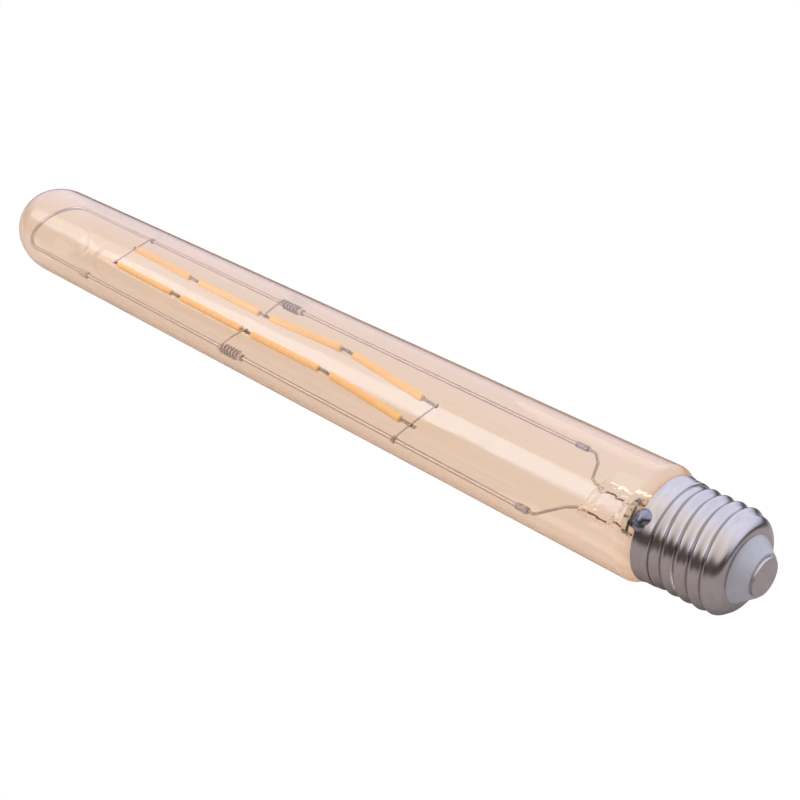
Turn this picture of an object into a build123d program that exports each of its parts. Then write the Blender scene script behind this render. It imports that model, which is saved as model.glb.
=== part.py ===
import os
from math import acos, atan, atan2, cos, degrees, hypot, radians, sin

from build123d import *

os.makedirs("parts", exist_ok=True)

# Long tubular LED filament bulb with an Edison screw cap, lying on its side.
# Lengths run along the bulb from the face of the centre contact, which is the origin.
# The contact faces +X and the domed end of the glass points to -X.

# Glass envelope
overall_length = 310.0
tube_diameter = 30.0
glass_wall = 1.0
dome_height = 17.9
neck_diameter = 22.4
neck_end = 17.0
shoulder_start = 27.7
shoulder_radius = 3.2
neck_corner_radius = 0.5
corner_share = 0.98

# Screw cap shell
sheet = 0.3
thread_pitch = 3.629
thread_major = 26.2
thread_minor = 24.3
thread_base = 3.48
thread_bed = 0.25
thread_sink = 0.03
thread_start = 5.4
thread_turns = 5.0
thread_fade = 9.0
thread_turn_start = 118.5
skirt_diameter = 26.6
skirt_start = 22.3
skirt_corner_radius = 0.5
rim_diameter = 27.1
rim_start = 27.4
rim_lip = 0.7
shell_base = 4.63
shell_corner_radius = 3.0

# Insulator and centre contact
insulator_base_diameter = 16.8
insulator_tip_diameter = 11.2
insulator_fit = 0.15
insulator_flange = 2.8
contact_diameter = 9.8
contact_height = 0.9
contact_edge_radius = 0.35
shank_diameter = 2.4
shank_length = 7.0

# Filament frame: both rods lie in one plane, turned about the bulb and leaning a little
frame_roll = 22.0
frame_lean = 0.45
lean_centre = 165.0
rod_clearance = 2.2
rod_diameter = 1.2
rod_start = 61.5
loop_clearance = 2.6
bead_setback = 47.5
bead_length = 4.4
bead_diameter = 2.5
bead_gap = 1.0
bead_edge_radius = 0.6

# Stem
stem_diameter = 14.0
stem_wall = 1.2
flare_start = 28.0
flare_rim = 1.1
press_start = 39.5
press_taper = 4.5
press_end = 50.0
press_width = 13.0
press_thickness = 4.0
press_shift = 0.5
press_corner_radius = 1.9
press_edge_radius = 0.8
exhaust_diameter = 4.2
exhaust_wall = 0.7
exhaust_tip = 22.5
exhaust_tip_radius = 1.9

# Leads
lead_spacing = 8.0
lead_diameter = 0.8
lead_seat = 46.8
lead_bend_radius = 1.6
lead_straights = {"front": 4.0, "back": 4.5}
lead_knees = {"front": [(52.2, 6.2)], "back": [(54.4, -9.4), (52.2, -4.4)]}
lead_entries = {"front": 49.2, "back": 50.4}
press_wire_diameter = 0.6
outer_lead_diameter = 0.5
outer_lead_top = 40.6
outer_lead_overlap = 2.6
crimp_length = 5.0
crimp_diameter = 2.0
crimp_groove_radius = 0.3
crimp_nip_spacing = 2.0

# Filaments and their wires
filament_count = 4
filament_length = 31.5
filament_gap = 5.4
filament_diameter = 2.2
filament_edge_radius = 0.6
filament_start = 111.2
row_sides = {"a": (6.2, 3.5, 3.6, 3.4, 3.0), "b": (-2.6, -6.1, -4.4, -4.7, -5.6)}
near_reach = 5.4
far_reach = 1.5
tab_width = 1.0
tab_thickness = 0.25
tab_overrun = 0.8
wire_diameter = 0.5
wire_end = 0.8
coil_clearance = 0.02
cross_turns = 1.25
cross_pitch = 0.6
cross_rise = 1.7
cross_drift = 0.5
support_slips = {"front": 1.7, "back": -0.7}
sleeve_diameter = 2.2
sleeve_length = 11.0
support_turns = 5.2
support_pitch = 1.45

# Driver inside the cap
board_start = 9.0
board_length = 11.5
board_width = 12.5
board_thickness = 1.0
capacitor_diameter = 5.0
capacitor_length = 7.0
capacitor_start = 10.0
capacitor_offset = -3.6
capacitor_edge_radius = 0.4
rectifier_length = 4.7
rectifier_width = 3.9
rectifier_height = 1.5
rectifier_start = 14.5
chip_length = 4.9
chip_width = 3.9
chip_height = 1.2
chip_start = 9.6
chip_edge = 0.2
fuse_body_diameter = 2.2
fuse_body_length = 5.0
fuse_height = 3.0
fuse_lead_diameter = 0.5
fuse_lead_run = 1.2
fuse_reach = 8.6
fuse_bend_radius = 0.6
neutral_diameter = 0.4
neutral_bend = 13.4
neutral_pad = 2.4
neutral_offset = 5.0
neutral_step = 1.2
neutral_clearance = 0.05

# Solder and cement
solder_roll = 33.0
solder_depth = 0.9
solder_drops = ((26.3, 6.0, 2.2), (26.9, -6.5, 1.9))
cement_length = 3.2

# Sizes that follow from those above
tube_radius = tube_diameter / 2
neck_radius = neck_diameter / 2
neck_bore = neck_radius - glass_wall
crest_radius = thread_major / 2
root_radius = thread_minor / 2
skirt_radius = skirt_diameter / 2
rod_radius = rod_diameter / 2
rod_offset = tube_radius - glass_wall - rod_clearance
rod_sides = {"front": rod_offset, "back": -rod_offset}
wire_radius = wire_diameter / 2
loop_centre = overall_length - glass_wall - loop_clearance - rod_radius - rod_offset
bead_position = overall_length - bead_setback
tab_top = rod_radius
filament_height = tab_top - tab_thickness
filament_pitch = filament_length + filament_gap
near_knot = filament_start - near_reach
far_knot = filament_start + filament_count * filament_pitch - filament_gap + far_reach
first_joint = filament_start + filament_length + filament_gap / 2
joints = [near_knot, *[first_joint + index * filament_pitch for index in range(filament_count - 1)], far_knot]
board_top = -outer_lead_diameter / 2
cement_start = skirt_start + sheet + skirt_corner_radius

# Planes: x runs along the bulb from the contact, y towards the front, z up
level = Plane(origin=(0, 0, 0), x_dir=(-1, 0, 0), z_dir=(0, 0, 1))
section = Plane(origin=(0, 0, 0), x_dir=(-1, 0, 0), z_dir=(0, 1, 0))


def spot(plane, along, side=0.0, up=0.0):
    """A point given in a plane's own directions."""
    return plane.from_local_coords(Vector(along, side, up))


def across(plane, along, side=0.0, up=0.0):
    """The cross-section plane at a length along the bulb, facing the dome."""
    return Plane(spot(plane, along, side, up), x_dir=plane.y_dir, z_dir=plane.x_dir)


# The filament frame's own plane: y points to the front rod
rolled = level.rotated((frame_roll, 0, 0))
lean_dir = spot(rolled, cos(radians(frame_lean)), -sin(radians(frame_lean)))
frame = Plane(spot(rolled, lean_centre) - lean_dir * lean_centre, x_dir=lean_dir, z_dir=rolled.z_dir)


def save(piece, name):
    piece.part.label = name
    export_step(piece.part, f"parts/{name}.step")


def revolved(*corners):
    """A closed outline turned about the bulb: each corner is a length, a radius and its rounding."""
    with BuildPart() as piece:
        with BuildSketch(section):
            with BuildLine():
                FilletPolyline(*[corner[:2] for corner in corners], radius=[corner[2] for corner in corners],
                               close=True)
            make_face()
        revolve(axis=Axis.X)
    return piece.part


def bent_wire(plane, points, bend_radius, diameter):
    """A round wire along straight runs with rounded bends."""
    with BuildPart() as piece:
        with BuildLine(plane) as route:
            FilletPolyline(*points, radius=bend_radius)
        with BuildSketch(Plane(route.line @ 0, z_dir=route.line % 0)):
            Circle(diameter / 2)
        sweep()
    return piece.part


def bar(plane, start, end, side, up, diameter):
    """A straight round bar along the bulb, between two lengths."""
    with BuildPart() as piece:
        with BuildSketch(across(plane, start, side, up)):
            Circle(diameter / 2)
        extrude(amount=end - start)
    return piece.part


# Glass envelope
def glass_body(inset):
    """The glass form, drawn the wall thickness further in for its hollow."""
    side = tube_radius - inset
    neck = neck_radius - inset
    shoulder = shoulder_start + inset
    step = tube_radius - neck_radius
    round_share = min(1.0, step * corner_share / (shoulder_radius + neck_corner_radius))
    shoulder_round = round_share * shoulder_radius - inset
    neck_round = round_share * neck_corner_radius + inset
    dome_base = overall_length - dome_height
    with BuildPart() as body:
        with BuildSketch(section):
            with BuildLine():
                FilletPolyline((dome_base, side), (shoulder, side), (shoulder, neck), (neck_end, neck),
                               (neck_end, 0), radius=[shoulder_round, neck_round, 0])
                Line((neck_end, 0), (overall_length - inset, 0))
                EllipticalCenterArc((dome_base, 0), dome_height - inset, side, start_angle=0, arc_size=90)
            make_face()
        revolve(axis=Axis.X)
    return body.part


glass_outside = glass_body(0.0)
glass_inside = glass_body(glass_wall)
with BuildPart() as glass_envelope:
    add(glass_outside)
    add(glass_inside, mode=Mode.SUBTRACT)
save(glass_envelope, "glass_envelope")


# Screw cap shell, rolled from one thin sheet
def thread_ridge(inset):
    """The rounded Edison thread as one ridge, wound right-handed about the bulb."""
    height = crest_radius - root_radius + thread_sink
    half_base = thread_base / 2
    flank = 2 * atan(height / half_base)
    arc_radius = half_base / (2 * sin(flank))
    start = across(level, thread_start).rotated((0, 0, thread_turn_start))
    turns = start * Helix(thread_pitch, thread_pitch * thread_turns, root_radius - inset - thread_sink)
    with BuildPart() as ridge:
        with BuildSketch(Plane(turns @ 0, x_dir=start.x_dir, z_dir=turns % 0)):
            with BuildLine():
                rise = JernArc((0, -half_base), (0, 1), arc_radius, -degrees(flank))
                crest = JernArc(rise @ 1, rise % 1, arc_radius, 2 * degrees(flank))
                JernArc(crest @ 1, crest % 1, arc_radius, -degrees(flank))
                Polyline((0, half_base), (-thread_bed, half_base), (-thread_bed, -half_base), (0, -half_base))
            make_face()
        sweep(path=turns, is_frenet=True)
    return ridge.part


def shell_body(inset):
    """The outer form of the shell, or its hollow one sheet further in."""
    root = root_radius - inset
    skirt = skirt_radius - inset
    step = skirt_start + inset
    base = shell_base + inset
    drum = revolved((rim_start, 0, 0), (rim_start, skirt, 0), (step, skirt, skirt_corner_radius),
                    (step, root, skirt_corner_radius), (base, root, shell_corner_radius - inset),
                    (base, 0, 0))
    fade = revolved((step, 0, 0), (step, skirt, 0), (thread_fade, skirt, 0),
                    (base + shell_corner_radius, root, 0), (base, 0, 0))
    ridge = thread_ridge(inset)
    with BuildPart() as ridge_within:
        add(ridge)
        add(fade, mode=Mode.INTERSECT)
    with BuildPart() as body:
        add(drum)
        add(ridge_within.part)
    return body.part


shell_outside = shell_body(0.0)
shell_hollow = shell_body(sheet)
with BuildPart() as cap_shell:
    add(shell_outside)
    with BuildSketch(across(level, rim_start - rim_lip)):
        Circle(rim_diameter / 2)
    extrude(amount=rim_lip)
    add(shell_hollow, mode=Mode.SUBTRACT)
    with BuildSketch(across(level, shell_base)):
        Circle(insulator_base_diameter / 2)
    extrude(amount=2 * sheet, mode=Mode.SUBTRACT)
save(cap_shell, "cap_shell")

# Insulator, moulded round the contact's shank and held inside the end of the shell
seat_radius = root_radius - sheet - insulator_fit
seat_start = shell_base + sheet
seat_end = seat_start + insulator_flange
base_radius = insulator_base_diameter / 2
insulator_seat = revolved((seat_start, 0, 0), (seat_start, seat_radius, shell_corner_radius - sheet),
                          (seat_end, seat_radius, 0), (seat_end, 0, 0))
insulator_cone = revolved((contact_height, 0, 0), (contact_height, insulator_tip_diameter / 2, 0),
                          (shell_base, base_radius, 0), (seat_start + insulator_fit, base_radius, 0),
                          (seat_start + insulator_fit, 0, 0))
with BuildPart() as cap_insulator:
    add(insulator_seat)
    add(insulator_cone)
    with BuildSketch(across(level, 0)):
        Circle(shank_diameter / 2)
    extrude(amount=seat_end, mode=Mode.SUBTRACT)
save(cap_insulator, "cap_insulator")

# Centre contact: a round head with a shank through the insulator
with BuildPart() as centre_contact:
    with BuildSketch(across(level, 0)):
        Circle(contact_diameter / 2)
    extrude(amount=contact_height)
    fillet(centre_contact.edges().sort_by(Axis.X)[-1], contact_edge_radius)
    with BuildSketch(across(level, contact_height)):
        Circle(shank_diameter / 2)
    extrude(amount=shank_length)
save(centre_contact, "centre_contact")

# Leads: inner lead, press wire and outer lead follow each other through the press
lead_half = lead_spacing / 2
lead_sides = {"front": lead_half + press_shift, "back": press_shift - lead_half}
press_wires = []
for name, side in lead_sides.items():
    rod_side = rod_sides[name]
    route = [(rod_start, rod_side), (rod_start - lead_straights[name], rod_side), *lead_knees[name],
             (lead_entries[name], side), (lead_seat, side)]
    lead = bent_wire(frame, route, lead_bend_radius, lead_diameter)
    with BuildPart() as inner_lead:
        add(lead)
    save(inner_lead, f"{name}_inner_lead")
    sealed = bar(frame, outer_lead_top, lead_seat, side, 0, press_wire_diameter)
    with BuildPart() as press_wire:
        add(sealed)
    save(press_wire, f"{name}_press_wire")
    tail_start = board_start + board_length - outer_lead_overlap
    tail = bar(frame, tail_start, outer_lead_top, side, 0, outer_lead_diameter)
    with BuildPart() as outer_lead:
        add(tail)
    save(outer_lead, f"{name}_outer_lead")
    press_wires += [inner_lead.part, press_wire.part, outer_lead.part]

# Glass stem: flare, tube and the flat press around the leads
stem_radius = stem_diameter / 2
bore_radius = stem_radius - stem_wall
flare_end = neck_end - flare_rim
stem_top = press_start - press_taper
with BuildPart() as stem:
    with BuildSketch(section):
        with BuildLine():
            Line((stem_top, 0), (stem_top, stem_radius))
            Line((stem_top, stem_radius), (flare_start, stem_radius))
            TangentArc((flare_start, stem_radius), (neck_end, neck_bore), tangent=(-1, 0))
            Polyline((neck_end, neck_bore), (neck_end, neck_radius), (flare_end, neck_radius), (flare_end, 0),
                     (stem_top, 0))
        make_face()
    revolve(axis=Axis.X)
    with BuildSketch(across(level, stem_top)):
        Circle(stem_radius)
    with BuildSketch(across(frame, press_start, press_shift)):
        RectangleRounded(press_width, press_thickness, press_corner_radius)
    loft()
    with BuildSketch(across(frame, press_start, press_shift)):
        RectangleRounded(press_width, press_thickness, press_corner_radius)
    extrude(amount=press_end - press_start)
    fillet(stem.faces().sort_by(Axis.X)[0].edges(), press_edge_radius)
    with BuildSketch(section):
        with BuildLine():
            Line((stem_top, 0), (stem_top, bore_radius))
            Line((stem_top, bore_radius), (flare_start, bore_radius))
            TangentArc((flare_start, bore_radius), (flare_end, neck_bore), tangent=(-1, 0))
            Polyline((flare_end, neck_bore), (flare_end, 0), (stem_top, 0))
        make_face()
    revolve(axis=Axis.X, mode=Mode.SUBTRACT)
    for held in press_wires:
        add(held, mode=Mode.SUBTRACT)
save(stem, "stem")

# Exhaust tube, sealed off at its tip
with BuildPart() as exhaust_tube:
    with BuildSketch(across(level, exhaust_tip)):
        Circle(exhaust_diameter / 2)
    extrude(amount=stem_top - exhaust_tip)
    fillet(exhaust_tube.faces().sort_by(Axis.X)[-1].edges(), exhaust_tip_radius)
    with BuildSketch(across(level, exhaust_tip + exhaust_diameter / 2)):
        Circle(exhaust_diameter / 2 - exhaust_wall)
    extrude(amount=stem_top - exhaust_tip - exhaust_diameter / 2, mode=Mode.SUBTRACT)
save(exhaust_tube, "exhaust_tube")

# Support rods: the back one goes round the dome and returns to the bead on the front side
bead_start = bead_position - bead_length / 2
front_end = bead_position - bead_gap / 2
front_bar = bar(frame, rod_start, front_end, rod_offset, 0, rod_diameter)
with BuildPart() as front_rod:
    add(front_bar)
save(front_rod, "front_rod")

with BuildPart() as back_rod:
    with BuildLine(frame) as loop:
        Line((rod_start, -rod_offset), (loop_centre, -rod_offset))
        ThreePointArc((loop_centre, -rod_offset), (loop_centre + rod_offset, 0), (loop_centre, rod_offset))
        Line((loop_centre, rod_offset), (bead_position + bead_gap / 2, rod_offset))
    with BuildSketch(Plane(loop.line @ 0, z_dir=loop.line % 0)):
        Circle(rod_radius)
    sweep()
save(back_rod, "back_rod")

with BuildPart() as end_bead:
    with BuildSketch(across(frame, bead_start, rod_offset)):
        Circle(bead_diameter / 2)
    extrude(amount=bead_length)
    fillet(end_bead.edges().filter_by(GeomType.CIRCLE), bead_edge_radius)
    with BuildSketch(across(frame, bead_start, rod_offset)):
        Circle(rod_radius)
    extrude(amount=bead_length, mode=Mode.SUBTRACT)
save(end_bead, "end_bead")

# Crimp sleeves over the ends of the inner leads and the rods
for name, side in rod_sides.items():
    with BuildPart() as crimp:
        with BuildSketch(across(frame, rod_start - crimp_length / 2, side)):
            Circle(crimp_diameter / 2)
        extrude(amount=crimp_length)
        fillet(crimp.edges().filter_by(GeomType.CIRCLE), crimp_groove_radius)
        for nip in (-crimp_nip_spacing / 2, crimp_nip_spacing / 2):
            with BuildSketch(across(frame, rod_start + nip, side).rotated((90, 0, 0))):
                with Locations((crimp_diameter / 2, 0), (-crimp_diameter / 2, 0)):
                    Circle(crimp_groove_radius)
            extrude(amount=crimp_diameter, both=True, mode=Mode.SUBTRACT)
        with BuildSketch(across(frame, rod_start, side)):
            Circle(rod_radius)
        extrude(amount=crimp_length / 2, mode=Mode.SUBTRACT)
        with BuildSketch(across(frame, rod_start, side)):
            Circle(lead_diameter / 2)
        extrude(amount=-crimp_length / 2, mode=Mode.SUBTRACT)
    save(crimp, f"{name}_crimp")


# Wires wound on the rods, each leaving its coil in a tail that lies across the filament tabs
def wound_wire(core_diameter, side, coil_end, turns, pitch, outward, landing_along, landing_side):
    """A coil round a core on one rod, then a tail that ends just past its landing on a tab."""
    inward = -1 if side > 0 else 1
    coil_radius = core_diameter / 2 + wire_radius + coil_clearance
    height = tab_top + wire_radius
    distance = abs(landing_side - side)
    drop = atan2(distance, height) - acos(coil_radius / hypot(distance, height))
    along = frame.x_dir * outward
    inward_dir = frame.y_dir * inward
    last = inward_dir * sin(drop) + frame.z_dir * cos(drop)
    lefthand = along.dot(frame.z_dir.cross(inward_dir)) < 0
    first = last.rotate(Axis((0, 0, 0), along), 360 * turns * (1 if lefthand else -1))
    base = Plane(spot(frame, coil_end - outward * turns * pitch, side), x_dir=first, z_dir=along)
    coil = base * Helix(pitch, pitch * turns, coil_radius, lefthand=lefthand)
    finish = spot(frame, landing_along, landing_side + inward * wire_end, height)
    with BuildPart() as piece:
        with BuildSketch(Plane(coil @ 0, z_dir=coil % 0)):
            Circle(wire_radius)
        sweep(path=coil, is_frenet=True)
        with BuildLine() as tail:
            TangentArc(coil @ 1, finish, tangent=coil % 1)
        with BuildSketch(Plane(coil @ 1, z_dir=coil % 1)):
            Circle(wire_radius)
        sweep(path=tail.line)
    return piece


near_cross_wire = wound_wire(rod_diameter, rod_offset, near_knot + cross_rise, cross_turns, cross_pitch,
                             -1, near_knot - cross_drift, row_sides["b"][0])
save(near_cross_wire, "near_cross_wire")
far_cross_wire = wound_wire(rod_diameter, -rod_offset, far_knot - cross_rise, cross_turns, cross_pitch, 1,
                            far_knot + cross_drift, row_sides["a"][-1])
save(far_cross_wire, "far_cross_wire")
middle = filament_count // 2
for name, row in (("front", "a"), ("back", "b")):
    side = rod_sides[name]
    coil_end = joints[middle] + support_slips[name]
    support_wire = wound_wire(sleeve_diameter, side, coil_end, support_turns, support_pitch, 1,
                              joints[middle], row_sides[row][middle])
    save(support_wire, f"{name}_support_wire")
    sleeve_start = coil_end - (support_turns * support_pitch + sleeve_length) / 2
    with BuildPart() as sleeve:
        with BuildSketch(across(frame, sleeve_start, side)):
            Circle(sleeve_diameter / 2)
            Circle(rod_radius, mode=Mode.SUBTRACT)
        extrude(amount=sleeve_length)
    save(sleeve, f"{name}_sleeve")

# Filaments in two rows, each between two joints, with a flat tab at both ends
for row, sides in row_sides.items():
    for index in range(filament_count):
        near_joint = spot(frame, joints[index], sides[index])
        far_joint = spot(frame, joints[index + 1], sides[index + 1])
        span = (far_joint - near_joint).length
        link = Plane(near_joint, x_dir=far_joint - near_joint, z_dir=frame.z_dir)
        start = filament_start + index * filament_pitch - joints[index]
        end = start + filament_length
        name = f"{row}{index + 1}"
        with BuildPart() as filament:
            with BuildSketch(across(link, start, 0, filament_height)):
                Circle(filament_diameter / 2)
            extrude(amount=filament_length)
            fillet(filament.edges().filter_by(GeomType.CIRCLE), filament_edge_radius)
        save(filament, f"filament_{name}")
        under_next = index < filament_count - 1
        tab_places = (("near", start, -tab_overrun, 0), ("far", end, span + tab_overrun, int(under_next)))
        for place, root, tip, layer in tab_places:
            tab_middle = tab_top - tab_thickness * (layer + 1 / 2)
            with BuildPart() as tab:
                with BuildSketch(across(link, root, 0, tab_middle)):
                    Rectangle(tab_width, tab_thickness)
                extrude(amount=tip - root)
            save(tab, f"tab_{name}_{place}")

# Driver board, standing lengthwise in the cap and reaching into the stem's flare
with BuildPart() as driver_board:
    with BuildSketch(across(rolled, board_start, 0, board_top - board_thickness / 2)):
        Rectangle(board_width, board_thickness)
    extrude(amount=board_length)
save(driver_board, "driver_board")

with BuildPart() as smoothing_capacitor:
    with BuildSketch(across(rolled, capacitor_start, capacitor_offset, board_top + capacitor_diameter / 2)):
        Circle(capacitor_diameter / 2)
    extrude(amount=capacitor_length)
    fillet(smoothing_capacitor.edges().filter_by(GeomType.CIRCLE), capacitor_edge_radius)
save(smoothing_capacitor, "smoothing_capacitor")


def chip_body(start, length, width, height):
    """A flat moulded package under the board, with its lower edges bevelled."""
    with BuildPart() as body:
        with BuildSketch(across(rolled, start, 0, board_top - board_thickness - height / 2)):
            Rectangle(width, height)
        extrude(amount=length)
        chamfer(body.faces().sort_by(Axis(rolled.origin, rolled.z_dir))[0].edges(), chip_edge)
    return body


save(chip_body(rectifier_start, rectifier_length, rectifier_width, rectifier_height), "bridge_rectifier")
save(chip_body(chip_start, chip_length, chip_width, chip_height), "driver_chip")

# Fuse resistor from the contact's shank, over the board and down to it
rolled_side = Plane(rolled.origin, x_dir=rolled.x_dir, z_dir=-rolled.y_dir)
shank_end = contact_height + shank_length
fuse_middle = shank_end + fuse_lead_run + fuse_reach / 2
fuse_route = [(shank_end, 0), (shank_end + fuse_lead_run, 0), (shank_end + fuse_lead_run, fuse_height),
              (shank_end + fuse_lead_run + fuse_reach, fuse_height),
              (shank_end + fuse_lead_run + fuse_reach, board_top)]
fuse_lead = bent_wire(rolled_side, fuse_route, fuse_bend_radius, fuse_lead_diameter)
with BuildPart() as fuse_resistor:
    add(fuse_lead)
    with BuildSketch(across(rolled, fuse_middle - fuse_body_length / 2, 0, fuse_height)):
        Circle(fuse_body_diameter / 2)
    extrude(amount=fuse_body_length)
save(fuse_resistor, "fuse_resistor")

# Neutral wire from the board, between neck and shell and along the skirt, to the rim
solder_plane = level.rotated((-solder_roll, 0, 0))
neutral_radius = neutral_diameter / 2
neutral_height = board_top + neutral_radius
neutral_ring = (neck_radius + root_radius - sheet) / 2
rim_ring = skirt_radius - sheet - neutral_clearance - neutral_radius
neutral_route = [spot(rolled, neutral_bend + neutral_pad, neutral_offset, neutral_height),
                 spot(rolled, neutral_bend, neutral_offset, neutral_height),
                 spot(solder_plane, neutral_bend, neutral_ring),
                 spot(solder_plane, cement_start, neutral_ring),
                 spot(solder_plane, cement_start + neutral_step, rim_ring),
                 spot(solder_plane, rim_start, rim_ring)]
with BuildPart() as neutral_wire:
    with BuildLine() as neutral_line:
        Polyline(*neutral_route)
    with BuildSketch(Plane(neutral_line.line @ 0, z_dir=neutral_line.line % 0)):
        Circle(neutral_radius)
    sweep(transition=Transition.ROUND)
save(neutral_wire, "neutral_wire")

# Solder over the rim and the end of the neutral wire, two drops run together
rim_radius = rim_diameter / 2
lip_start = rim_start - rim_lip
rim_cover = revolved((rim_start, 0, 0), (rim_start, rim_radius, 0), (lip_start, rim_radius, 0),
                     (lip_start, skirt_radius, 0), (skirt_start, skirt_radius, 0), (skirt_start, 0, 0))
with BuildPart() as rim_solder:
    for drop_position, drop_turn, drop_radius in solder_drops:
        drop_plane = solder_plane.rotated((-drop_turn, 0, 0))
        drop_centre = spot(drop_plane, drop_position, skirt_radius - solder_depth)
        with Locations(Plane(drop_centre, x_dir=drop_plane.x_dir, z_dir=drop_plane.y_dir)):
            Sphere(drop_radius)
    add(glass_outside, mode=Mode.SUBTRACT)
    add(rim_cover, mode=Mode.SUBTRACT)
save(rim_solder, "rim_solder")

# Capping cement between the neck and the skirt of the shell
with BuildPart() as cap_cement:
    with BuildSketch(across(level, cement_start)):
        Circle(skirt_radius - sheet)
        Circle(neck_radius, mode=Mode.SUBTRACT)
    extrude(amount=cement_length)
    add(neutral_wire.part, mode=Mode.SUBTRACT)
save(cap_cement, "cap_cement")
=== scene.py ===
import bpy
import math
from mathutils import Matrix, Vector, noise


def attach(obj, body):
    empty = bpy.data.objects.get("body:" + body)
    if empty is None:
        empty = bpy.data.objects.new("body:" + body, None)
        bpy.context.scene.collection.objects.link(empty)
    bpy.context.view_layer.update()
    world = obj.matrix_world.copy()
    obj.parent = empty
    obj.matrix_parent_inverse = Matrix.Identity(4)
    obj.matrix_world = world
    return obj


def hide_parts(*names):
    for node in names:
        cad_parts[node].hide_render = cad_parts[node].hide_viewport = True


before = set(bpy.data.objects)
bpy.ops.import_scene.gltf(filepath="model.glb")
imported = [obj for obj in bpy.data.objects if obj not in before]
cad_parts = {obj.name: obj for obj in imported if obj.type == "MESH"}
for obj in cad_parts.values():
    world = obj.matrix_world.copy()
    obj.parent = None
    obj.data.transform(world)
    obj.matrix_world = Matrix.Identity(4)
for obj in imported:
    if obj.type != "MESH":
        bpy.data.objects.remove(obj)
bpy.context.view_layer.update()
print("frame loaded:", len(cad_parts), "nodes")

mm = 0.001  # the object's sizes are written in millimetres

# The axis of the bulb is X: the contact's face is at 0 and the dome at minus the overall length
bulb = {
    "length": 310.0, "tubeRadius": 15.0, "neckRadius": 11.2, "floorHeight": -15.0,
    "frameRoll": 22.0, "frameLean": 0.45, "leanCentre": 165.0,
}


# Colours and nodes

def hexColour(text):
    # An sRGB hex colour as linear values, by the sRGB curve
    value = []
    for index in (1, 3, 5):
        part = int(text[index:index + 2], 16) / 255
        value.append(part / 12.92 if part <= 0.04045 else ((part + 0.055) / 1.055) ** 2.4)
    return (*value, 1.0)


def addNode(tree, kind, inputs=None, links=None, stops=(), **settings):
    node = tree.nodes.new(kind)
    for key, value in settings.items():
        setattr(node, key, value)
    for key, value in (inputs or {}).items():
        node.inputs[key].default_value = value
    for key, source in (links or {}).items():
        tree.links.new(source, node.inputs[key])
    if stops:
        # Places and colours along a colour ramp
        elements = node.color_ramp.elements
        while len(elements) < len(stops):
            elements.new(0.5)
        for element, (position, colour) in zip(elements, stops):
            element.position = position
            element.color = hexColour(colour)
    return node


def newMaterial(name):
    material = bpy.data.materials.new(name)
    material.use_nodes = True
    tree = material.node_tree
    tree.nodes.clear()
    return material, tree


def finishMaterial(tree, shader, volume=None):
    links = {"Surface": shader.outputs[0]}
    if volume:
        links["Volume"] = volume.outputs[0]
    addNode(tree, "ShaderNodeOutputMaterial", links=links)


def seenOrThrough(tree, path):
    # 1 for what the camera sees directly or through glass
    either = addNode(tree, "ShaderNodeMath",
                     links={0: path.outputs["Is Camera Ray"], 1: path.outputs["Is Transmission Ray"]},
                     operation="MAXIMUM")
    return either.outputs[0]


# Camera at the photograph's viewing angle
cameraSetup = {
    "place": (130.5, -234.8, 180.1), "azimuth": 43.35, "elevation": 27.88, "lens": 63.0, "sensor": 36.0,
    "nearest": 10.0,
}
cameraData = bpy.data.cameras.new("camera")
cameraData.lens = cameraSetup["lens"]
cameraData.sensor_width = cameraSetup["sensor"]
cameraData.clip_start = cameraSetup["nearest"] * mm
camera = bpy.data.objects.new("camera", cameraData)
bpy.context.scene.collection.objects.link(camera)
aimTurn = math.radians(cameraSetup["azimuth"])
aimDrop = math.radians(cameraSetup["elevation"])
aim = Vector((-math.cos(aimTurn) * math.cos(aimDrop),
              math.sin(aimTurn) * math.cos(aimDrop),
              -math.sin(aimDrop)))
camera.location = Vector(cameraSetup["place"]) * mm
camera.rotation_euler = aim.to_track_quat("-Z", "Y").to_euler()
bpy.context.scene.camera = camera

# Lamps, in metres and watts: a broad soft box on the dome's side of the viewer, one above and one behind
lamps = {
    "keyBox": {"place": (-0.82, -0.55, 0.50), "size": (0.8, 0.5), "power": 3.0},
    "topBox": {"place": (-0.15, -0.10, 0.95), "size": (0.9, 0.6), "power": 2.6},
    "backBox": {"place": (-0.25, 0.75, 0.55), "size": (0.9, 0.4), "power": 1.5},
}
lampTarget = Vector((-0.15, 0.0, 0.0))
for name, light in lamps.items():
    lamp = bpy.data.lights.new(name, "AREA")
    lamp.shape = "RECTANGLE"
    lamp.size, lamp.size_y = light["size"]
    lamp.energy = light["power"]
    lampObject = bpy.data.objects.new(name, lamp)
    lampObject.location = light["place"]
    toward = lampTarget - Vector(light["place"])
    lampObject.rotation_euler = toward.to_track_quat("-Z", "Y").to_euler()
    lampObject.visible_glossy = False
    bpy.context.scene.collection.objects.link(lampObject)

# Room: dark low on the viewer's side and pale above and behind, with one soft box that the glass mirrors.
# What is seen directly or through the glass is white. The plain strength lights matt surfaces, and the
# mirrored one is what glass and metal reflect
world = bpy.data.worlds.new("room")
bpy.context.scene.world = world
world.use_nodes = True
worldTree = world.node_tree
worldTree.nodes.clear()
room = {
    "plain": 0.95, "mirrored": 2.4, "white": 1.0, "farFade": 0.3,
    "near": ((0.0, "#6A615D"), (0.02, "#342D2B"), (0.20, "#423D3B"), (0.40, "#B8B6B4"), (1.0, "#DFDFDF")),
    "far": ((0.0, "#90929E"), (0.10, "#A9B0C8"), (0.30, "#CAD2E8"), (1.0, "#D0D8EA")),
    "box": (-0.567, -0.676, 0.469), "boxWide": 0.42, "boxHigh": 0.26, "boxEdge": (0.55, 1.2),
    "boxColour": "#DEE9FF", "boxStrength": 2.5,
}
worldPath = addNode(worldTree, "ShaderNodeLightPath")
worldCoords = addNode(worldTree, "ShaderNodeTexCoord")
direction = worldCoords.outputs["Generated"]
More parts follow.
